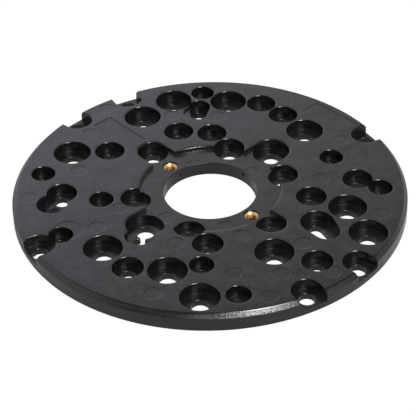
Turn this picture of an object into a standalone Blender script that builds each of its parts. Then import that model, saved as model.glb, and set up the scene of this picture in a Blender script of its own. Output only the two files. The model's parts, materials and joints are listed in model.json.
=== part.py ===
# Router sub base: a round moulded plate seen with its work face up. A bore for the cutter
# stands in a sunk seat for a guide bush, two threaded brass inserts hold the bush, and
# stepped screw wells, rim notches and slots fit the base castings of many routers.
# Lengths are in metres, +Z is up, and the origin is at the centre of the router face.

import math

import bmesh
import bpy

# Plate
plate_radius = 0.0850
plate_thickness = 0.0075
rim_chamfer_width = 0.00128
rim_chamfer_height = 0.0017
lower_edge_chamfer = 0.0004

# Bore and bush seat
bore_radius = 0.0203
seat_radius = 0.0306
seat_depth = 0.00175

# Screw wells: a wide well for the head and a narrow hole for the shank
well_depth = 0.00475
large_well_radius = 0.00825
large_hole_radius = 0.0036
medium_well_radius = 0.00655
medium_hole_radius = 0.0034
small_well_radius = 0.0052
small_hole_radius = 0.00225

# Channels: each runs at the seat's depth from the seat to an end well, a little inside the
# well's own width
channel_side_step = 0.0001

# Slot between the holes of a large well and of the medium well that breaks into it
keyhole_half_width = 0.0012

# Oblong well: wide at one end and narrower at the other, with a slot in its floor
oblong_wide_radius = 0.00715
oblong_narrow_radius = 0.0056
oblong_slot_half_width = 0.0030

# Drop-shaped well: wide at one end and narrow at the other, with a slot and a shallow pocket
drop_wide_radius = 0.0050
drop_narrow_radius = 0.0036
drop_slot_half_width = 0.0022
pocket_radius = 0.00465
pocket_depth = 0.0010

# Threaded brass inserts, sunk a little into the seat's floor, with a groove between two collars
insert_radius = 0.0030
insert_length = 0.0038
insert_sink = 0.0005
insert_bore_radius = 0.0021
insert_mouth_chamfer = 0.0004
insert_groove_depth = 0.0003
insert_collar_height = 0.0014
insert_clearance = 0.0003

# Every cutter runs past the plate by this much
overrun = 0.0010
merge_gap = 0.00001

# Facets
plate_steps = 96
large_steps = 24
medium_steps = 20
small_steps = 16
insert_steps = 32
sharp_angle = math.radians(30)

# Heights that follow from the sizes
seat_floor = plate_thickness - seat_depth
insert_top = seat_floor - insert_sink
well_floor = plate_thickness - well_depth
cut_top = plate_thickness + overrun
cut_bottom = -overrun

# Places, each as a share of the plate's radius and an angle in degrees from +X
large_well_shares = (
    (0.826, 102.9),
    (0.742, 118.3),
    (0.794, 81.8),
    (0.707, 43.6),
    (0.788, 155.1),
    (0.711, 344.2),
    (0.867, 332.3),
    (0.708, 222.3),
    (0.616, 299.5),
    (0.692, 252.3),
    (0.862, 266.1),
)
medium_well_shares = (
    (0.620, 146.7),
    (0.531, 107.2),
    (0.485, 87.7),
    (0.364, 72.9),
    (0.811, 68.9),
    (0.760, 57.8),
    (0.389, 14.6),
    (0.755, 3.1),
    (0.519, 349.1),
    (0.381, 191.3),
    (0.750, 181.8),
    (0.801, 188.0),
    (0.746, 237.6),
    (0.461, 268.0),
    (0.346, 252.6),
    (0.795, 309.4),
)
small_well_shares = (
    (0.875, 91.7),
    (0.867, 170.1),
    (0.553, 188.6),
    (0.678, 20.6),
    (0.864, 357.6),
    (0.821, 206.5),
    (0.625, 265.6),
    (0.857, 278.2),
)
# End wells of the channels: large, medium, large, medium
channel_end_shares = ((0.451, 43.8), (0.447, 131.6), (0.437, 221.9), (0.430, 314.2))
# The medium well that breaks into the third channel's end well, at the keyhole's far end
keyhole_end_shares = (0.519, 228.3)
rim_notch_shares = (
    (0.942, 28.0),
    (0.942, 117.6),
    (0.942, 207.9),
    (0.942, 297.9),
    (0.946, 137.8),
    (0.946, 318.0),
)
oblong_wide_shares = (0.609, 329.6)
oblong_narrow_shares = (0.684, 326.0)
oblong_slot_shares = ((0.602, 329.5), (0.672, 325.7))
drop_wide_shares = (0.740, 93.6)
drop_narrow_shares = (0.663, 94.5)
drop_slot_shares = ((0.735, 93.6), (0.673, 94.6))
pocket_shares = (0.688, 96.3)
# Each insert lies this far of the way from the bore's edge to the seat's edge
insert_reach_share = 0.476
insert_angles = {"brass_insert_rear": 132.4, "brass_insert_front": 313.8}

for old in list(bpy.data.objects):
    bpy.data.objects.remove(old)

parts = bpy.data.collections.new("router_sub_base")
cutters = bpy.data.collections.new("plate_cutters")
bpy.context.scene.collection.children.link(parts)
bpy.context.scene.collection.children.link(cutters)


def place(share, angle):
    """The point at this share of the plate's radius, at this angle in degrees."""
    reach = share * plate_radius
    return reach * math.cos(math.radians(angle)), reach * math.sin(math.radians(angle))


def turned(name, outline, steps, collection, closed=False):
    """An outline of (radius, height) points turned about Z. It runs down its outer side."""
    mesh = bpy.data.meshes.new(name)
    ends = [(i, i + 1) for i in range(len(outline) - 1)]
    if closed:
        ends.append((len(outline) - 1, 0))
    mesh.from_pydata([(radius, 0, height) for radius, height in outline], ends, [])
    solid = bpy.data.objects.new(name, mesh)
    collection.objects.link(solid)
    screw = solid.modifiers.new("turn", "SCREW")
    screw.steps = steps
    screw.render_steps = steps
    screw.use_merge_vertices = True
    screw.merge_threshold = merge_gap
    return solid


def hide_cutter(cutter):
    cutter.hide_render = True
    cutter.display_type = "WIRE"


def cut_round(name, centre, radius, floor, steps):
    """A round cutter from the floor height up past the work face."""
    outline = ((0, cut_top), (radius, cut_top), (radius, floor), (0, floor))
    cutter = turned(name, outline, steps, cutters)
    cutter.location = (*centre, 0)
    hide_cutter(cutter)


def cut_well(name, centre, well_radius, hole_radius, floor, steps):
    """A stepped cutter: a well down to the floor height, and a hole on through the plate."""
    outline = (
        (0, cut_top),
        (well_radius, cut_top),
        (well_radius, floor),
        (hole_radius, floor),
        (hole_radius, cut_bottom),
        (0, cut_bottom),
    )
    cutter = turned(name, outline, steps, cutters)
    cutter.location = (*centre, 0)
    hide_cutter(cutter)


def cut_outline(name, points, floor):
    """A cutter of this flat outline, from the floor height up past the work face."""
    flat = bpy.data.curves.new(name, "CURVE")
    flat.dimensions = "2D"
    flat.fill_mode = "BOTH"
    flat.extrude = (cut_top - floor) / 2
    spline = flat.splines.new("POLY")
    spline.points.add(len(points) - 1)
    for knot, (x, y) in zip(spline.points, points):
        knot.co = (x, y, 0, 1)
    spline.use_cyclic_u = True
    sheet = bpy.data.objects.new(name + "_outline", flat)
    cutters.objects.link(sheet)
    graph = bpy.context.evaluated_depsgraph_get()
    mesh = bpy.data.meshes.new_from_object(sheet.evaluated_get(graph))
    bpy.data.objects.remove(sheet)
    shell = bmesh.new()
    shell.from_mesh(mesh)
    bmesh.ops.remove_doubles(shell, verts=shell.verts, dist=merge_gap)
    for corner in shell.verts:
        corner.co.z = cut_top if corner.co.z > 0 else floor
    bmesh.ops.recalc_face_normals(shell, faces=shell.faces)
    shell.to_mesh(mesh)
    shell.free()
    cutter = bpy.data.objects.new(name, mesh)
    cutters.objects.link(cutter)
    hide_cutter(cutter)


def capsule(first, first_radius, second, second_radius, steps):
    """The outline round two circles and their outer tangents. Each end has half the steps."""
    run_x = second[0] - first[0]
    run_y = second[1] - first[1]
    heading = math.atan2(run_y, run_x)
    square = math.acos((first_radius - second_radius) / math.hypot(run_x, run_y))
    half_steps = steps // 2
    points = []
    for i in range(half_steps + 1):
        angle = heading - square + 2 * square * i / half_steps
        points.append(
            (
                second[0] + second_radius * math.cos(angle),
                second[1] + second_radius * math.sin(angle),
            )
        )
    for i in range(half_steps + 1):
        angle = heading + square + 2 * (math.pi - square) * i / half_steps
        points.append(
            (
                first[0] + first_radius * math.cos(angle),
                first[1] + first_radius * math.sin(angle),
            )
        )
    return points


def cut_channel(name, centre, half_width):
    """A straight channel at the seat's depth, from inside the seat to an end well's centre."""
    reach = math.hypot(*centre)
    along_x = centre[0] / reach
    along_y = centre[1] / reach
    points = [
        (
            distance * along_x - side * half_width * along_y,
            distance * along_y + side * half_width * along_x,
        )
        for distance, side in ((bore_radius, -1), (reach, -1), (reach, 1), (bore_radius, 1))
    ]
    cut_outline(name, points, seat_floor)


def settle(piece, material):
    """Keeps the evaluated mesh, with its round sides shaded smooth."""
    graph = bpy.context.evaluated_depsgraph_get()
    mesh = bpy.data.meshes.new_from_object(piece.evaluated_get(graph))
    piece.modifiers.clear()
    piece.data = mesh
    mesh.materials.clear()
    mesh.materials.append(material)
    mesh.shade_smooth()
    mesh.set_sharp_from_angle(angle=sharp_angle)


def finish_material(name, colour, roughness, metallic):
    material = bpy.data.materials.new(name)
    material.use_nodes = True
    shader = material.node_tree.nodes["Principled BSDF"]
    shader.inputs["Base Color"].default_value = (*colour, 1)
    shader.inputs["Roughness"].default_value = roughness
    shader.inputs["Metallic"].default_value = metallic
    material.diffuse_color = (*colour, 1)
    return material


moulded_plastic = finish_material("moulded_plastic", (0.050, 0.050, 0.054), 0.50, 0)
turned_brass = finish_material("turned_brass", (0.68, 0.50, 0.24), 0.28, 1)


def cut_screw_wells():
    kinds = (
        ("large", large_well_shares, large_well_radius, large_hole_radius, large_steps),
        ("medium", medium_well_shares, medium_well_radius, medium_hole_radius, medium_steps),
        ("small", small_well_shares, small_well_radius, small_hole_radius, small_steps),
    )
    for kind, shares, well_radius, hole_radius, steps in kinds:
        for i, share in enumerate(shares):
            name = f"{kind}_well_{i + 1}"
            cut_well(name, place(*share), well_radius, hole_radius, well_floor, steps)


def cut_channels():
    for i, share in enumerate(channel_end_shares):
        centre = place(*share)
        if i % 2 == 0:
            well_radius = large_well_radius
            hole_radius = large_hole_radius
            steps = large_steps
        else:
            well_radius = medium_well_radius
            hole_radius = medium_hole_radius
            steps = medium_steps
        cut_well(f"channel_end_{i + 1}", centre, well_radius, hole_radius, well_floor, steps)
        cut_channel(f"channel_{i + 1}", centre, well_radius - channel_side_step)


def cut_keyhole():
    eye = place(*channel_end_shares[2])
    far_end = place(*keyhole_end_shares)
    cut_well(
        "keyhole_end",
        far_end,
        medium_well_radius,
        medium_hole_radius,
        well_floor,
        medium_steps,
    )
    slot = capsule(eye, keyhole_half_width, far_end, keyhole_half_width, small_steps)
    cut_outline("keyhole_slot", slot, cut_bottom)


def cut_rim_notches():
    """Wells that open sideways through the rim."""
    outside_share = 1 + medium_well_radius / plate_radius
    for i, (share, angle) in enumerate(rim_notch_shares):
        centre = place(share, angle)
        outside = place(outside_share, angle)
        notch = capsule(centre, medium_well_radius, outside, medium_well_radius, medium_steps)
        cut_outline(f"rim_notch_{i + 1}", notch, well_floor)
        cut_round(f"rim_hole_{i + 1}", centre, medium_hole_radius, cut_bottom, medium_steps)


def cut_oblong():
    well = capsule(
        place(*oblong_wide_shares),
        oblong_wide_radius,
        place(*oblong_narrow_shares),
        oblong_narrow_radius,
        large_steps,
    )
    cut_outline("oblong_well", well, well_floor)
    first, second = (place(*share) for share in oblong_slot_shares)
    half_width = oblong_slot_half_width
    slot = capsule(first, half_width, second, half_width, large_steps)
    cut_outline("oblong_slot", slot, cut_bottom)


def cut_drop():
    well = capsule(
        place(*drop_wide_shares),
        drop_wide_radius,
        place(*drop_narrow_shares),
        drop_narrow_radius,
        large_steps,
    )
    cut_outline("drop_well", well, well_floor)
    first, second = (place(*share) for share in drop_slot_shares)
    slot = capsule(first, drop_slot_half_width, second, drop_slot_half_width, small_steps)
    cut_outline("drop_slot", slot, cut_bottom)
    pocket_floor = plate_thickness - pocket_depth
    cut_round("drop_pocket", place(*pocket_shares), pocket_radius, pocket_floor, small_steps)


def insert_place(angle):
    reach = bore_radius + insert_reach_share * (seat_radius - bore_radius)
    return place(reach / plate_radius, angle)


def cut_insert_pockets():
    """A blind pocket for each insert, with a hole of its bore on through the router face."""
    floor = insert_top - insert_length - insert_clearance
    for name, angle in insert_angles.items():
        cut_well(
            name + "_pocket",
            insert_place(angle),
            insert_radius + insert_clearance,
            insert_bore_radius,
            floor,
            insert_steps,
        )


def make_plate():
    outline = (
        (bore_radius, seat_floor),
        (seat_radius, seat_floor),
        (seat_radius, plate_thickness),
        (plate_radius - rim_chamfer_width, plate_thickness),
        (plate_radius, plate_thickness - rim_chamfer_height),
        (plate_radius, lower_edge_chamfer),
        (plate_radius - lower_edge_chamfer, 0),
        (bore_radius, 0),
    )
    plate = turned("base_plate", outline, plate_steps, parts, closed=True)
    cut_screw_wells()
    cut_channels()
    cut_keyhole()
    cut_rim_notches()
    cut_oblong()
    cut_drop()
    cut_insert_pockets()
    cut = plate.modifiers.new("cut_all", "BOOLEAN")
    cut.operation = "DIFFERENCE"
    cut.solver = "EXACT"
    cut.operand_type = "COLLECTION"
    cut.collection = cutters
    settle(plate, moulded_plastic)


def make_insert(name, angle):
    """A brass sleeve with a chamfered mouth at each end and a groove between its collars."""
    waist_radius = insert_radius - insert_groove_depth
    mouth_radius = insert_bore_radius + insert_mouth_chamfer
    outline = (
        (insert_bore_radius, -insert_mouth_chamfer),
        (mouth_radius, 0),
        (insert_radius, 0),
        (insert_radius, -insert_collar_height),
        (waist_radius, -insert_collar_height - insert_groove_depth),
        (waist_radius, insert_collar_height + insert_groove_depth - insert_length),
        (insert_radius, insert_collar_height - insert_length),
        (insert_radius, -insert_length),
        (mouth_radius, -insert_length),
        (insert_bore_radius, insert_mouth_chamfer - insert_length),
    )
    insert = turned(name, outline, insert_steps, parts, closed=True)
    insert.location = (*insert_place(angle), insert_top)
    settle(insert, turned_brass)


make_plate()
for insert_name, insert_angle in insert_angles.items():
    make_insert(insert_name, insert_angle)
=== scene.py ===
import json
import math

import bpy
import bmesh
from mathutils import Matrix, Vector

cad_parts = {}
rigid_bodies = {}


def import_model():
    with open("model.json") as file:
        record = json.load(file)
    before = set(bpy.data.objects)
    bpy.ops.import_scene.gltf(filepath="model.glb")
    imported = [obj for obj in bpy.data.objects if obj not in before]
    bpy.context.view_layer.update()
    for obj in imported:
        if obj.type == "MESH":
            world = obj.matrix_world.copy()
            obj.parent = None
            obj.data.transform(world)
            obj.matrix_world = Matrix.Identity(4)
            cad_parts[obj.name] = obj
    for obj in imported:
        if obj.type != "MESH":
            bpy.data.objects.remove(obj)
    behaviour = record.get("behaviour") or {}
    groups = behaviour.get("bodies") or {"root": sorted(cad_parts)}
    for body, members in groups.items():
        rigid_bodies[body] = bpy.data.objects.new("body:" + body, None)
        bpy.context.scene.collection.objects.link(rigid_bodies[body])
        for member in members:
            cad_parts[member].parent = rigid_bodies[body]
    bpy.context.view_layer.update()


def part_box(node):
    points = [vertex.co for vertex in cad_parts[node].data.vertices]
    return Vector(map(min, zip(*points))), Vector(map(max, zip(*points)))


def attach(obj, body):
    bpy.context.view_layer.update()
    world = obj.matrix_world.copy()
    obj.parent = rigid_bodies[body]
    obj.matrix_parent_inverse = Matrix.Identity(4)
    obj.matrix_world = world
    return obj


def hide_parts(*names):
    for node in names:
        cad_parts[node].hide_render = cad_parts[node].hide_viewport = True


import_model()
mm = 0.001
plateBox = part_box("base_plate")
plateRadius = plateBox[1].x / mm
plateThick = plateBox[1].z / mm
print("frame loaded, plate", round(plateRadius * 2, 2), "x", round(plateThick, 2), "mm")

# The camera comes from a fit to the plate's outline and wells. Lengths are in mm, angles in degrees.
view = dict(
    place=(-0.716, -559.419, 418.591),
    tilt=37.073,
    roll=-1.348,
    halfPixel=0.217,  # half a pixel of the photo, at the plate
    focalPixels=1610.09,
    framePixels=416,
    sensor=36.0,
    nearest=0.01,  # what the camera sees starts and ends here, in metres
    farthest=20,
)


def makeCamera():
    tilt = math.radians(view["tilt"])
    roll = math.radians(view["roll"])
    ahead = Vector((0, math.cos(tilt), -math.sin(tilt)))
    level = Vector((1, 0, 0))
    above = level.cross(ahead)
    right = level * math.cos(roll) + above * math.sin(roll)
    up = above * math.cos(roll) - level * math.sin(roll)
    place = Vector(view["place"]) + (up - right) * view["halfPixel"]
    data = bpy.data.cameras.new("photoCamera")
    data.sensor_width = view["sensor"]
    data.lens = view["focalPixels"] / view["framePixels"] * view["sensor"]
    data.clip_start = view["nearest"]
    data.clip_end = view["farthest"]
    camera = bpy.data.objects.new("photoCamera", data)
    bpy.context.scene.collection.objects.link(camera)
    turn = Matrix((right, up, -ahead)).transposed()
    camera.matrix_world = Matrix.Translation(place * mm) @ turn.to_4x4()
    bpy.context.scene.camera = camera


makeCamera()
print("camera placed")

# Sizes of the plate's finer surface, in mm
plate = dict(
    lean=0.18,  # how far back the cuts are moved at the work face
    seatCentre=(0.13, -0.03),
    boreRadius=20.2,
    boreDraft=0.3,
    boreRound=0.3,
    seatRadius=30.6,
    seatDepth=1.75,
    seatDraft=0.45,
    seatCornerRound=0.15,
    chamferWidth=1.68,
    chamferLean=0.5,  # how far back the chamfer's upper edge is moved
    chamferHeight=1.62,
    chamferRound=0.65,
    edgeRound=0.15,
    steps=288,
    sharpAngle=32,
)
wells = dict(
    depth=4.75,
    draft=0.1,
    holeDraft=0.2,
    rimRound=0.5,
    sinkWidth=1.3,  # the face sinks a little round each mouth
    sinkDepth=0.09,
    sinkPower=3,
    sinkSteps=4,
    sinkRise=0.002,  # the sink's curve starts this far above the face
    floorRound=0.05,
    holeRound=0.25,
    endRise=0.05,  # a channel's end well starts this far above the channel's floor corner
    overrun=1.0,
    roundSteps=5,
    lipSteps=3,
    large=dict(well=8.22, hole=3.75, steps=72),
    slim=dict(well=8.22, hole=3.45, steps=72),
    medium=dict(well=6.53, hole=3.28, steps=60),
    wide=dict(well=6.8, hole=3.5, steps=60),
    tight=dict(well=6.53, hole=3.1, steps=60),
    notch=dict(well=6.53, hole=3.5, steps=60),
    small=dict(well=5.2, hole=2.25, steps=48),
)
seatFloor = plateThick - plate["seatDepth"]
wellFloor = plateThick - wells["depth"]
cutTop = plateThick + wells["overrun"]
cutBottom = -wells["overrun"]
arm = 2  # length of a corner's side where only its direction counts

# Places, each as a share of the plate's radius and an angle in degrees from +X
wellShares = dict(
    large=(
        (0.707, 43.6), (0.788, 155.1), (0.711, 344.2), (0.867, 332.3),
        (0.708, 222.3), (0.616, 299.5), (0.692, 252.3), (0.862, 266.1),
    ),
    slim=((0.826, 102.9), (0.742, 118.3), (0.794, 81.8)),
    medium=(
        (0.620, 146.7), (0.531, 107.2), (0.485, 87.7), (0.811, 68.9), (0.760, 57.8),
        (0.389, 14.4), (0.755, 3.1), (0.519, 349.1), (0.381, 191.3), (0.750, 181.8),
        (0.801, 188.0), (0.746, 237.6), (0.795, 309.4),
    ),
    wide=((0.361, 72.7),),
    tight=((0.461, 268.0), (0.346, 252.6)),
    small=(
        (0.875, 91.7), (0.867, 170.1), (0.553, 188.6), (0.678, 20.6),
        (0.864, 357.6), (0.821, 206.5), (0.625, 265.6), (0.857, 278.2),
    ),
)
channelEnds = (
    ("large", (0.451, 43.8)),
    ("wide", (0.442, 131.7)),
    ("large", (0.437, 221.9)),
    ("tight", (0.430, 314.2)),
)
notchShares = (
    (0.942, 28.0), (0.942, 117.6), (0.942, 207.9),
    (0.939, 298.1), (0.946, 137.8), (0.938, 318.2),
)


def direction(angle):
    turn = math.radians(angle)
    return Vector((math.cos(turn), math.sin(turn)))


def placeOf(share, angle):
    return direction(angle) * share * plateRadius


def arcRun(centre, radius, start, sweep, count):
    # points of an arc, first and last included
    run = []
    for i in range(count + 1):
        angle = start + sweep * i / count
        run.append((centre[0] + radius * math.cos(angle), centre[1] + radius * math.sin(angle)))
    return run


def rounded(before, at, after, radius, count=wells["roundSteps"]):
    # the arc that rounds off the corner of a profile, from its first side to its second
    at = Vector(at)
    first = (Vector(before) - at).normalized()
    second = (Vector(after) - at).normalized()
    half = first.angle(second) / 2
    centre = at + (first + second).normalized() * radius / math.sin(half)
    fromCentre = at + first * radius / math.tan(half) - centre
    start = math.atan2(fromCentre.y, fromCentre.x)
    sweep = math.pi - 2 * half
    if first.x * second.y - first.y * second.x > 0:
        sweep = -sweep
    return arcRun(centre, radius, start, sweep, count)


def solidOfRings(name, rings, wrap=False):
    # rings of points joined into one closed shell: capped, or with the last ring joined to the first
    count = len(rings[0])
    points = []
    for ring in rings:
        points += [tuple(c * mm for c in point) for point in ring]
    faces = []
    for row in range(len(rings) if wrap else len(rings) - 1):
        near = row * count
        far = (row + 1) % len(rings) * count
        for i in range(count):
            j = (i + 1) % count
            faces.append((near + i, near + j, far + j, far + i))
    if not wrap:
        faces.append(tuple(range(count)))
        faces.append(tuple(range(len(points) - count, len(points))))
    mesh = bpy.data.meshes.new(name)
    mesh.from_pydata(points, [], faces)
    shell = bmesh.new()
    shell.from_mesh(mesh)
    bmesh.ops.recalc_face_normals(shell, faces=shell.faces)
    shell.to_mesh(mesh)
    shell.free()
    return bpy.data.objects.new(name, mesh)


def circle(centre, radius, steps, heading=0.0):
    # two half circles, so that the points match the end of a capsule with the same heading
    start = heading - math.pi / 2
    run = arcRun(centre, radius, start, math.pi, steps // 2)
    return run + arcRun(centre, radius, start + math.pi, math.pi, steps // 2)[1:-1]


def capsule(first, firstRadius, second, secondRadius, steps):
    # the outline round two circles and their outer tangents
    run = Vector(second) - Vector(first)
    heading = math.atan2(run.y, run.x)
    square = math.acos((firstRadius - secondRadius) / run.length)
    outline = arcRun(second, secondRadius, heading - square, 2 * square, steps // 2)
    return outline + arcRun(first, firstRadius, heading + square, 2 * (math.pi - square), steps // 2)


def ringsOf(profile, outlineAt):
    # a profile of (size, height) points carried round an outline that depends on the size
    return [[(x, y, height) for x, y in outlineAt(size)] for size, height in profile]


def mouthProfile(size, floor=wellFloor, floorRound=wells["floorRound"], draft=wells["draft"],
                 rimRound=wells["rimRound"]):
    # a well from above its rounded rim down to its rounded floor corner
    foot = size - draft
    run = wells["sinkWidth"] - rimRound
    edge = plateThick - wells["sinkDepth"]
    profile = [(size + wells["sinkWidth"], cutTop)]
    for i in range(wells["sinkSteps"]):
        share = i / wells["sinkSteps"]
        sunk = (wells["sinkDepth"] + wells["sinkRise"]) * share ** wells["sinkPower"]
        profile.append((size + rimRound + run * (1 - share), plateThick + wells["sinkRise"] - sunk))
    slope = wells["sinkPower"] * wells["sinkDepth"] / run
    profile += rounded((size + arm, edge + arm * slope), (size, edge), (foot, floor), rimRound)
    profile += rounded((size, plateThick), (foot, floor), (foot - arm, floor), floorRound)
    return profile


def holeProfile(size):
    # a hole from its rounded lip in the wells' floor down through the plate
    lip = (size, wellFloor)
    foot = (size - wells["holeDraft"], cutBottom)
    return rounded((size + arm, wellFloor), lip, foot, wells["holeRound"], wells["lipSteps"]) + [foot]


def openHole(size):
    # the same hole, with the cut carried on up to the work face
    return [(size + wells["holeRound"], plateThick)] + holeProfile(size)


cutters = bpy.data.collections.new("cutters")


def leanBack(rings, foot, lean):
    # rings moved back more and more from the foot's height up to the work face
    moved = []
    for ring in rings:
        back = lean * max(0, ring[0][2] - foot) / (plateThick - foot)
        moved.append([(x, y + back, z) for x, y, z in ring])
    return moved


def cutWith(name, rings, lean=plate["lean"]):
    cutters.objects.link(solidOfRings(name, leanBack(rings, wellFloor, lean)))


def cutRound(name, profile, centre, steps, heading=0.0, lean=plate["lean"]):
    cutWith(name, ringsOf(profile, lambda size: circle(centre, size, steps, heading)), lean)


def cutCapsule(name, profile, first, second, steps, firstRadius, secondRadius=None):
    # both ends have the first radius if no second one is given
    if secondRadius is None:
        secondRadius = firstRadius

    def outlineAt(size):
        return capsule(first, firstRadius + size, second, secondRadius + size, steps)

    cutWith(name, ringsOf(profile, outlineAt))


def cutWell(name, centre, kind):
    sizes = wells[kind]
    profile = mouthProfile(sizes["well"]) + holeProfile(sizes["hole"])
    cutRound(name, profile, centre, sizes["steps"])


def cutChannel(name, kind, share):
    # a channel at the seat's depth, then its end well from the channel's floor down
    sizes = wells[kind]
    centre = placeOf(*share)
    corner = plate["seatCornerRound"]
    inner = centre.normalized() * plate["boreRadius"]
    profile = mouthProfile(0, seatFloor, corner, plate["seatDraft"])
    cutCapsule(name, profile, inner, centre, sizes["steps"], sizes["well"])
    foot = (sizes["well"], wellFloor)
    profile = [(sizes["well"], seatFloor + corner + wells["endRise"])]
    profile += rounded((sizes["well"], plateThick), foot, (0, wellFloor), wells["floorRound"])
    profile += holeProfile(sizes["hole"])
    cutRound(name + "End", profile, centre, sizes["steps"], math.radians(share[1]))


def cutNotch(name, share, angle):
    # a well open to the rim, then its hole
    sizes = wells["notch"]
    centre = placeOf(share, angle)
    outside = placeOf(1 + sizes["well"] / plateRadius, angle)
    cutCapsule(name, mouthProfile(0), centre, outside, sizes["steps"], sizes["well"])
    cutRound(name + "Hole", openHole(sizes["hole"]), centre, sizes["steps"])


keyhole = dict(
    eye=(0.4365, 222.3),
    eyeRadius=3.87,
    end=(0.5155, 227.7),
    slotEnd=(0.5128, 227.4),
    slotHalfWidth=1.2,
    slotSteps=24,
)


def cutKeyhole():
    # the hole of a channel's end well, with a narrow slot to the medium well beside it
    eye = placeOf(*keyhole["eye"])
    cutWell("keyholeEnd", placeOf(*keyhole["end"]), "medium")
    cutRound("keyholeEye", openHole(keyhole["eyeRadius"]), eye, wells["large"]["steps"])
    far = placeOf(*keyhole["slotEnd"])
    cutCapsule("keyholeSlot", openHole(0), eye, far, keyhole["slotSteps"], keyhole["slotHalfWidth"])


oblong = dict(
    wide=(0.609, 329.6),
    wideRadius=7.15,
    narrow=(0.684, 326.0),
    narrowRadius=5.6,
    slot=((0.602, 329.5), (0.672, 325.7)),
    slotHalfWidth=2.9,
)
drop = dict(
    wide=(0.740, 93.6),
    wideRadius=5.0,
    narrow=(0.663, 94.5),
    narrowRadius=3.6,
    slot=((0.735, 93.8), (0.673, 95.0)),
    slotHalfWidth=2.3,
)
pocket = dict(place=(0.688, 96.3), radius=4.65, depth=1.0, rimRound=0.25, floorRound=0.025)


def cutTapered(name, sizes):
    # a well with a wide and a narrow end, and the slot in its floor
    steps = wells["large"]["steps"]
    wide = placeOf(*sizes["wide"])
    narrow = placeOf(*sizes["narrow"])
    radii = (sizes["wideRadius"], sizes["narrowRadius"])
    cutCapsule(name + "Well", mouthProfile(0), wide, narrow, steps, *radii)
    first, second = [placeOf(*share) for share in sizes["slot"]]
    cutCapsule(name + "Slot", openHole(0), first, second, steps, sizes["slotHalfWidth"])


def cutPocket():
    # the shallow pocket beside the drop-shaped well
    floor = plateThick - pocket["depth"]
    profile = mouthProfile(pocket["radius"], floor, pocket["floorRound"], rimRound=pocket["rimRound"])
    cutRound("dropPocket", profile, placeOf(*pocket["place"]), wells["medium"]["steps"])


labels = dict(
    places=((132.8, 46.9, 71.7, 4.9), (42.8, 70.9, 80.8, 12.8)),  # angle, inner, outer, half width
    depth=0.35,
    cornerRound=0.5,
    cornerSteps=5,
    wallSlope=0.1,
)


def labelOutline(angle, inner, outer, half, size):
    # a rounded rectangle grown by the size and set square to its own radius
    along = direction(angle)
    across = Vector((-along.y, along.x))
    corner = labels["cornerRound"]
    near = inner + corner
    far = outer - corner
    side = half - corner
    outline = []
    for i, centre in enumerate(((far, -side), (far, side), (near, side), (near, -side))):
        start = (i - 1) * math.pi / 2
        for u, v in arcRun(centre, corner + size, start, math.pi / 2, labels["cornerSteps"]):
            outline.append(tuple(along * u + across * v))
    return outline


def cutLabels():
    # sunk panels, left bare
    slope = labels["wallSlope"]
    profile = [(slope, cutTop), (slope, plateThick), (-slope, plateThick - labels["depth"])]
    for i, place in enumerate(labels["places"]):
        cutWith("label" + str(i + 1), ringsOf(profile, lambda size: labelOutline(*place, size)))


pressedDiscs = dict(
    radius=3.9,
    wideRadius=6.4,
    depth=0.11,
    slope=0.6,
    rise=0.2,  # how far above the face their cutters start
    steps=48,
    onFace=(
        (0.640, 209.2), (0.436, 290.5), (0.485, 249.4), (0.691, 165.9), (0.569, 5.0),
        (0.891, 343.2), (0.654, 313.3), (0.912, 183.6), (0.920, 126.4), (0.805, 141.1),
        (0.910, 287.0), (0.873, 251.5), (0.702, 278.5), (0.779, 295.1), (0.795, 29.1),
        (0.642, 85.1), (0.686, 106.2), (0.481, 199.7), (0.902, 309.1),
    ),
    inSeat=((0.268, 33.5), (0.317, 284.4), (0.237, 107.9), (0.311, 225.3)),
    wide=((0.777, 205.3),),
)


def cutPressedDiscs():
    # faint sunk discs where the moulding was pushed out of its tool
    kinds = (
        (pressedDiscs["radius"], plateThick, pressedDiscs["onFace"]),
        (pressedDiscs["radius"], seatFloor, pressedDiscs["inSeat"]),
        (pressedDiscs["wideRadius"], plateThick, pressedDiscs["wide"]),
    )
    for radius, height, shares in kinds:
        profile = [(radius, height + pressedDiscs["rise"])]
        for part in (0, 0.5, 1):
            profile.append((radius - pressedDiscs["slope"] * part, height - pressedDiscs["depth"] * part))
        for i, share in enumerate(shares):
            cutRound("disc" + str(i + 1), profile, placeOf(*share), pressedDiscs["steps"])


def cutSeat():
    # the bush seat and the bore through it, which narrows a little downwards
    radius = plate["boreRadius"]
    upper = (radius, seatFloor)
    foot = (radius - plate["boreDraft"], 0)
    profile = mouthProfile(plate["seatRadius"], seatFloor, plate["seatCornerRound"], plate["seatDraft"])
    profile += rounded((plate["seatRadius"], seatFloor), upper, foot, plate["boreRound"])
    profile += rounded(upper, foot, (radius, 0), plate["edgeRound"], wells["lipSteps"])
    profile += [(radius, cutBottom)]
    cutRound("seat", profile, plate["seatCentre"], plate["steps"])


borePits = dict(
    places=((43.0, 3.9, 0.65), (130.0, 3.2, 0.5)),  # angle, height, radius
    depth=0.5,
    start=1,  # how far inside the bore their cutters start
    steps=16,
)


def cutBorePits():
    # small round pits in the bore's far wall, each along its own radius
    middle = Vector(plate["seatCentre"])
    for i, (angle, height, radius) in enumerate(borePits["places"]):
        along = direction(angle)
        across = Vector((-along.y, along.x))
        outline = arcRun((0, height), radius, 0, 2 * math.pi, borePits["steps"])[:-1]
        rings = []
        for reach in (plate["boreRadius"] - borePits["start"], plate["boreRadius"] + borePits["depth"]):
            rings.append([(*(middle + along * reach + across * side), lift) for side, lift in outline])
        cutWith("borePit" + str(i + 1), rings, 0)


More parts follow.
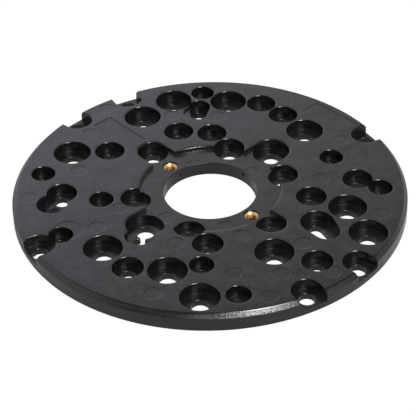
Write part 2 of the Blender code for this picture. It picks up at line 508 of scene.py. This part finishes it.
# The two brass inserts in the seat's floor, each with the node that it replaces and its angle
insert = dict(
    places=dict(
        brassInsertRear=("brass_insert_rear", 132.4),
        brassInsertFront=("brass_insert_front", 313.8),
    ),
    reachShare=0.476,  # of the way from the bore's edge to the seat's wall
    radius=3.0,
    length=3.8,
    sink=0.5,
    edgeBevel=0.1,
    mouthRadius=2.8,
    majorRadius=2.15,
    minorRadius=1.8,
    pitch=0.7,
    rowsPerPitch=8,
    pocketGap=0.2,
    pocketRound=0.2,
    pocketRise=0.5,  # how far above the seat's floor the pockets' cutters start
    exitRadius=2.1,
    steps=64,
    sharpAngle=40,
)


def insertPlace(angle):
    reach = plate["boreRadius"] + insert["reachShare"] * (plate["seatRadius"] - plate["boreRadius"])
    return placeOf(reach / plateRadius, angle)


def cutInsertPockets():
    # a pocket for each insert, and the hole that goes on from its thread
    radius = insert["radius"] + insert["pocketGap"]
    floor = seatFloor - insert["sink"] - insert["length"]
    mouth = (radius + arm, seatFloor)
    edge = (radius, seatFloor)
    profile = [(radius + insert["pocketRound"], seatFloor + insert["pocketRise"])]
    profile += rounded(mouth, edge, (radius, floor), insert["pocketRound"], wells["lipSteps"])
    profile += [(radius, floor), (insert["exitRadius"], floor), (insert["exitRadius"], cutBottom)]
    for name, (node, angle) in insert["places"].items():
        cutRound(name + "Pocket", profile, insertPlace(angle), insert["steps"], lean=0)


def plateProfile():
    # the disc's side, from a place over the bore round the rim to the same place below
    rim = plateRadius - plate["chamferWidth"]
    shoulder = plateThick - plate["chamferHeight"]
    corners = ((0, plateThick), (rim, plateThick), (plateRadius, shoulder), (plateRadius, 0), (0, 0))
    rounds = (plate["chamferRound"], plate["chamferRound"], plate["edgeRound"])
    profile = [(plate["seatRadius"] / 2, plateThick)]
    for before, at, after, size in zip(corners, corners[1:], corners[2:], rounds):
        profile += rounded(before, at, after, size)
    return profile + [(plate["seatRadius"] / 2, 0)]


def makePlate():
    rings = ringsOf(plateProfile(), lambda size: circle((0, 0), size, plate["steps"]))
    shoulder = plateThick - plate["chamferHeight"]
    body = solidOfRings("basePlate", leanBack(rings, shoulder, plate["chamferLean"]))
    bpy.context.scene.collection.objects.link(body)
    bpy.context.scene.collection.children.link(cutters)
    cutSeat()
    for kind, shares in wellShares.items():
        for i, share in enumerate(shares):
            cutWell(kind + str(i + 1), placeOf(*share), kind)
    for i, (kind, share) in enumerate(channelEnds):
        cutChannel("channel" + str(i + 1), kind, share)
    for i, (share, angle) in enumerate(notchShares):
        cutNotch("notch" + str(i + 1), share, angle)
    cutKeyhole()
    cutTapered("oblong", oblong)
    cutTapered("drop", drop)
    cutPocket()
    cutLabels()
    cutPressedDiscs()
    cutBorePits()
    cutInsertPockets()
    cut = body.modifiers.new("cutAll", "BOOLEAN")
    cut.operation = "DIFFERENCE"
    cut.solver = "MANIFOLD"
    cut.operand_type = "COLLECTION"
    cut.collection = cutters
    keepMesh(body, plate["sharpAngle"])
    for tool in list(cutters.objects):
        bpy.data.objects.remove(tool)
    bpy.data.collections.remove(cutters)
    return body


def keepMesh(piece, sharpAngle):
    # the evaluated mesh, shaded smooth up to the sharp angle, with wide faces kept flat
    bpy.context.view_layer.update()
    graph = bpy.context.evaluated_depsgraph_get()
    mesh = bpy.data.meshes.new_from_object(piece.evaluated_get(graph))
    piece.modifiers.clear()
    piece.data = mesh
    mesh.shade_smooth()
    mesh.set_sharp_from_angle(angle=math.radians(sharpAngle))
    flat = piece.modifiers.new("flatFaces", "WEIGHTED_NORMAL")
    flat.mode = "FACE_AREA"
    flat.keep_sharp = True


def threadReach(depth, part):
    # the thread's radius at a depth and a part of a turn, opened by a cone at both ends
    phase = (depth / insert["pitch"] + part) % 1
    ridge = insert["majorRadius"] - insert["minorRadius"]
    thread = insert["minorRadius"] + ridge * (1 - abs(2 * phase - 1))
    cone = insert["mouthRadius"] - min(depth, insert["length"] - depth)
    return max(thread, cone)


def sleeveRing(centre, height, reachAt):
    # a ring whose radius depends on the part of a turn
    ring = []
    for i in range(insert["steps"]):
        turn = 2 * math.pi * i / insert["steps"]
        reach = reachAt(i / insert["steps"])
        ring.append((centre.x + reach * math.cos(turn), centre.y + reach * math.sin(turn), height))
    return ring


def makeInsert(name, angle):
    # a sleeve: down its threaded inside, then up its plain outside
    centre = insertPlace(angle)
    top = seatFloor - insert["sink"]
    bottom = top - insert["length"]
    outer = insert["radius"]
    bevel = insert["edgeBevel"]
    rows = round(insert["length"] / insert["pitch"] * insert["rowsPerPitch"])
    rings = []
    for row in range(rows + 1):
        depth = insert["length"] * row / rows
        rings.append(sleeveRing(centre, top - depth, lambda part: threadReach(depth, part)))
    outside = ((outer - bevel, bottom), (outer, bottom + bevel), (outer, top - bevel), (outer - bevel, top))
    for reach, height in outside:
        rings.append(sleeveRing(centre, height, lambda part: reach))
    sleeve = solidOfRings(name, rings, wrap=True)
    bpy.context.scene.collection.objects.link(sleeve)
    keepMesh(sleeve, insert["sharpAngle"])
    return sleeve


class Wire:
    # a socket that takes part in sums, and the one way to add any other node
    def __init__(self, tree, socket=None):
        self.tree = tree
        self.socket = socket

    def make(self, kind, settings, inputs, out=0):
        node = self.tree.nodes.new(kind)
        for name, setting in settings.items():
            setattr(node, name, setting)
        for name, value in inputs.items():
            if isinstance(value, Wire):
                self.tree.links.new(value.socket, node.inputs[name])
            else:
                node.inputs[name].default_value = value
        if len(node.outputs):
            return Wire(self.tree, node.outputs[out])

    def other(self, out):
        # another output of the same node
        return Wire(self.tree, self.socket.node.outputs[out])

    def maths(self, operation, first, second):
        return self.make("ShaderNodeMath", {"operation": operation}, {0: first, 1: second})

    def __add__(self, other):
        return self.maths("ADD", self, other)

    def __radd__(self, other):
        return self.maths("ADD", other, self)

    def __sub__(self, other):
        return self.maths("SUBTRACT", self, other)

    def __rsub__(self, other):
        return self.maths("SUBTRACT", other, self)

    def __mul__(self, other):
        return self.maths("MULTIPLY", self, other)

    def __rmul__(self, other):
        return self.maths("MULTIPLY", other, self)

    def __truediv__(self, other):
        return self.maths("DIVIDE", self, other)

    def __pow__(self, other):
        return self.maths("POWER", self, other)

    def ramp(self, span, base=0):
        # 0 at the low end of a span that starts from the base, 1 at its high end, smooth between
        settings = {"interpolation_type": "SMOOTHSTEP"}
        inputs = {"Value": self, "From Min": base + span[0], "From Max": base + span[1]}
        return self.make("ShaderNodeMapRange", settings, inputs)

    def noise(self, size, detail, roughness=0.5):
        # noise of a given size in mm over the coordinates that this wire carries
        inputs = {"Vector": self, "Scale": 1 / (size * mm), "Detail": detail, "Roughness": roughness}
        return self.make("ShaderNodeTexNoise", {}, inputs)

    def mix(self, mode, factor, first, second):
        # sockets 0, 6 and 7 of a Mix node are its factor and its colours, and 2 is the colour it gives
        settings = {"data_type": "RGBA", "blend_type": mode}
        return self.make("ShaderNodeMix", settings, {0: factor, 6: first, 7: second}, 2)

    def blend(self, first, second):
        # from the first colour to the second as this wire goes from 0 to 1
        return self.mix("MIX", self, first, second)

    def tint(self, amount, colour):
        # this colour with some of another one added
        return self.mix("ADD", amount, self, colour)

    def split(self):
        x = self.make("ShaderNodeSeparateXYZ", {}, {0: self})
        return x, x.other(1), x.other(2)


def grey(level):
    return (level, level, level, 1)


def newMaterial(name):
    material = bpy.data.materials.new(name)
    material.use_nodes = True
    material.node_tree.nodes.clear()
    return material, Wire(material.node_tree)


def finishMaterial(wire, colour, rough, height, extra):
    bump = wire.make("ShaderNodeBump", {}, {"Height": height, "Distance": mm})
    inputs = {"Base Color": colour, "Roughness": rough, "Normal": bump, **extra}
    shader = wire.make("ShaderNodeBsdfPrincipled", {}, inputs)
    wire.make("ShaderNodeOutputMaterial", {}, {"Surface": shader})


# A noise is its size in mm, detail and roughness; a height is in mm; a span is where a mask fades in
plastic = dict(
    dark=(0.0028, 0.0028, 0.0031, 1),
    light=(0.0052, 0.0052, 0.0057, 1),
    lightSpan=(0.35, 0.7),
    # the bloom's pale colours, a cloud and a speck, partly the plastic's own blotches and partly painted
    # sheen
    bloomAndSheenCloud=(0.0068, 0.0068, 0.0078, 1),
    cloudNoise=(5.0, 4, 0.6),
    cloudSpan=(0.35, 0.72),
    bloomAndSheenSpeck=(0.0068, 0.0068, 0.0068, 1),
    speckNoise=(0.8, 2),
    speckSpan=(0.35, 0.7),
    upwardSpan=(0.9, 0.96),  # of the normal's upward part: the bloom and its painted sheen lie on level faces
    shallowSpan=(0.5, 2),  # above the wells' floor
    chamferSpan=(-0.1, 0.2),  # outwards from the chamfer's upper edge
    faceSpan=(-0.5, -0.1),  # from the work face
    frontRimSheenCut=0.6,  # how much of the bloom and its painted sheen is taken off the front rim
    rimSpan=(-8, -3),  # from the plate's outer side
    frontSpan=(-10, 50),  # from the middle towards the front
    waveNoise=(14.0, 1),
    waveHeight=0.16,
    rippleNoise=(4.5, 3, 0.6),
    rippleHeight=0.02,
    grainNoise=(0.45, 2),
    grainHeight=0.008,
    wellGrainHeight=0.002,
    chamferGrainHeight=0.008,
    sparkleNoise=(1.1, 1),
    sparkleHeight=0.07,
    lineNoise=(0.55, 3),
    lineStretch=0.03,
    lineSpan=(0.3, 0.7),
    lineRoughness=0.14,
    roughness=0.13,
    roughVariation=0.08,
    chamferRoughness=0.02,
    wellRoughness=0.04,
    refraction=1.5,
)


def plasticMaterial():
    material, wire = newMaterial("mouldedPlastic")
    place = wire.make("ShaderNodeTexCoord", {}, {}, "Object")
    wave = place.noise(*plastic["waveNoise"])
    ripple = place.noise(*plastic["rippleNoise"])
    grain = place.noise(*plastic["grainNoise"])
    sparkle = place.noise(*plastic["sparkleNoise"])
    x, y, z = place.split()
    reach = (x * x + y * y) ** 0.5 / mm
    chamfer = reach.ramp(plastic["chamferSpan"], plateRadius - plate["chamferWidth"])
    level = z / mm
    onFace = level.ramp(plastic["faceSpan"], plateThick)
    faceGrain = plastic["wellGrainHeight"] + onFace * (plastic["grainHeight"] - plastic["wellGrainHeight"])
    grainHeight = faceGrain + chamfer * plastic["chamferGrainHeight"]
    height = wave * plastic["waveHeight"] + ripple * plastic["rippleHeight"] + grain * grainHeight
    height = height + chamfer * sparkle * plastic["sparkleHeight"]
    rough = plastic["roughness"] + ripple * plastic["roughVariation"]
    rough = rough + chamfer * plastic["chamferRoughness"]
    # faint lines round the walls of the wells
    stretch = plastic["lineStretch"]
    rings = wire.make("ShaderNodeCombineXYZ", {}, {0: x * stretch, 1: y * stretch, 2: z})
    lines = rings.noise(*plastic["lineNoise"]).ramp(plastic["lineSpan"])
    rough = rough + (1 - onFace) * (plastic["wellRoughness"] + lines * plastic["lineRoughness"])
    colour = ripple.ramp(plastic["lightSpan"]).blend(plastic["dark"], plastic["light"])
    # a pale bloom on what looks up, above the wells' floor and mostly off the front rim: partly the
    # plastic's own blotches, partly painted sheen on the lit level faces
    normal = wire.make("ShaderNodeTexCoord", {}, {}, "Normal")
    upward = normal.split()[2].ramp(plastic["upwardSpan"]) * level.ramp(plastic["shallowSpan"], wellFloor)
    frontRim = reach.ramp(plastic["rimSpan"], plateRadius) * (0 - y / mm).ramp(plastic["frontSpan"])
    upward = upward * (1 - frontRim * plastic["frontRimSheenCut"])
    bloomAndSheenCloud = upward * place.noise(*plastic["cloudNoise"]).ramp(plastic["cloudSpan"])
    bloomAndSheenSpeck = upward * place.noise(*plastic["speckNoise"]).ramp(plastic["speckSpan"])
    colour = colour.tint(bloomAndSheenCloud, plastic["bloomAndSheenCloud"]).tint(bloomAndSheenSpeck, plastic["bloomAndSheenSpeck"])
    finishMaterial(wire, colour, rough, height, {"IOR": plastic["refraction"]})
    return material


brass = dict(
    clean=(0.80, 0.60, 0.30, 1),
    tarnished=(0.50, 0.34, 0.15, 1),
    # painted shade: the thread's bore darkens to brown with depth, where little light gets in
    inside=(0.30, 0.13, 0.035, 1),
    insideSpan=(0.45, 1.3),  # down from the insert's top, where the painted shade in the bore sets in
    tarnishNoise=(1.2, 3, 0.6),
    tarnishSpan=(0.35, 0.75),
    scratchNoise=(0.15, 2),
    scratchHeight=0.003,
    roughness=0.32,
    roughVariation=0.14,
    roughInside=0.15,
)


def brassMaterial():
    material, wire = newMaterial("turnedBrass")
    place = wire.make("ShaderNodeTexCoord", {}, {}, "Object")
    tarnish = place.noise(*brass["tarnishNoise"])
    scratches = place.noise(*brass["scratchNoise"])
    depth = seatFloor - insert["sink"] - place.split()[2] / mm
    # painted shade, darker down the bore
    inside = depth.ramp(brass["insideSpan"])
    colour = tarnish.ramp(brass["tarnishSpan"]).blend(brass["clean"], brass["tarnished"])
    colour = inside.blend(colour, brass["inside"])
    rough = brass["roughness"] + tarnish * brass["roughVariation"] + inside * brass["roughInside"]
    finishMaterial(wire, colour, rough, scratches * brass["scratchHeight"], {"Metallic": 1.0})
    return material


# Sky spans are parts of a unit direction
studio = dict(
    floorSize=3.0,
    floorDrop=0.05,  # in mm, the floor's only length that isn't in metres
    floorAlbedo=0.43,
    floorGlow=1.03,
    shadowInView=0.05,  # how much of the floor's brightness a shadow can take away
    shadowInGloss=0.88,
    ambient=0.45,
    lowSky=(1.30, 1.30, 1.33, 1),
    leftSky=(1.54, 1.50, 1.68, 1),
    rightSky=(0.60, 0.60, 0.62, 1),
    topSky=(0.25, 0.25, 0.26, 1),
    sideSky=(1.00, 0.98, 1.05, 1),
    frontSky=(0.11, 0.11, 0.11, 1),
    rightSpan=(-0.25, 0.25),
    aboveLowSpan=(0.15, 0.4),
    topSpan=(0.50, 0.80),
    sideSpan=(0.45, 0.70),
    behindFrontSpan=(-0.72, -0.2),
    # azimuth, height, distance, width, tallness and power: two soft boxes, hotter in their middle
    keys=(
        (-64, 35, 1.22, 0.66, 0.30, 3.5),
        (-64, 35, 1.20, 0.42, 0.26, 2.8),
        (-64, 35, 1.18, 0.20, 0.22, 1.4),
        (-48, 65, 1.22, 0.38, 0.38, 2.7),
        (-50, 65, 1.20, 0.27, 0.36, 5.2),
        (-52, 65, 1.18, 0.16, 0.32, 4.2),
    ),
)


def rays(wire):
    # 1 for rays from the camera, and 1 for glossy or transmitted ones
    camera = wire.make("ShaderNodeLightPath", {}, {}, "Is Camera Ray")
    gloss = wire.maths("MAXIMUM", camera.other("Is Glossy Ray"), camera.other("Is Transmission Ray"))
    return camera, gloss


def makeFloor():
    half = studio["floorSize"] / 2
    low = -studio["floorDrop"] * mm
    corners = [(-half, -half, low), (half, -half, low), (half, half, low), (-half, half, low)]
    mesh = bpy.data.meshes.new("floor")
    mesh.from_pydata(corners, [], [(0, 1, 2, 3)])
    floor = bpy.data.objects.new("floor", mesh)
    bpy.context.scene.collection.objects.link(floor)
    material, wire = newMaterial("floorWhite")
    camera, gloss = rays(wire)
    shown = camera * (1 - studio["shadowInView"]) + gloss * (1 - studio["shadowInGloss"])
    pale = wire.make("ShaderNodeBsdfDiffuse", {}, {"Color": grey(studio["floorAlbedo"])})
    white = wire.make("ShaderNodeEmission", {}, {"Color": grey(1.0), "Strength": studio["floorGlow"]})
    both = wire.make("ShaderNodeMixShader", {}, {0: shown, 1: pale, 2: white})
    wire.make("ShaderNodeOutputMaterial", {}, {"Surface": both})
    mesh.materials.append(material)


def makeWorld():
    # white to the camera; in the gloss, bright low down and at the left, dim above and in front
    world = bpy.data.worlds.new("surroundings")
    bpy.context.scene.world = world
    world.use_nodes = True
    world.node_tree.nodes.clear()
    wire = Wire(world.node_tree)
    camera, gloss = rays(wire)
    x, y, z = wire.make("ShaderNodeTexCoord", {}, {}, "Generated").split()
    sky = x.ramp(studio["rightSpan"]).blend(studio["leftSky"], studio["rightSky"])
    sky = z.ramp(studio["aboveLowSpan"]).blend(studio["lowSky"], sky)
    sky = z.ramp(studio["topSpan"]).blend(sky, studio["topSky"])
    sky = (0 - x).ramp(studio["sideSpan"]).blend(sky, studio["sideSky"])
    sky = y.ramp(studio["behindFrontSpan"]).blend(studio["frontSky"], sky)
    seen = gloss.blend(grey(studio["ambient"]), sky)
    colour = camera.blend(seen, grey(1.0))
    light = wire.make("ShaderNodeBackground", {}, {"Color": colour, "Strength": 1.0})
    wire.make("ShaderNodeOutputWorld", {}, {"Surface": light})


def makeKey(name, turn, lift, distance, width, tall, power):
    data = bpy.data.lights.new(name, "AREA")
    data.shape = "RECTANGLE"
    data.size = width
    data.size_y = tall
    data.energy = power
    azimuth = math.radians(turn)
    height = math.radians(lift)
    flat = math.cos(height)
    away = Vector((flat * math.cos(azimuth), flat * math.sin(azimuth), math.sin(height)))
    key = bpy.data.objects.new(name, data)
    key.location = away * distance
    key.rotation_euler = away.to_track_quat("Z", "Y").to_euler()
    bpy.context.scene.collection.objects.link(key)


body = makePlate()
body.data.materials.clear()
body.data.materials.append(plasticMaterial())
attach(body, "root")
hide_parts("base_plate")
print("plate cut,", len(body.data.polygons), "faces")
turnedBrass = brassMaterial()
for name, (node, angle) in insert["places"].items():
    sleeve = makeInsert(name, angle)
    sleeve.data.materials.clear()
    sleeve.data.materials.append(turnedBrass)
    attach(sleeve, "root")
    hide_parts(node)
print("inserts threaded")

makeFloor()
makeWorld()
for i, sizes in enumerate(studio["keys"]):
    makeKey("softBox" + str(i + 1), *sizes)
bpy.context.scene.view_settings.view_transform = "Standard"
print("studio lit")
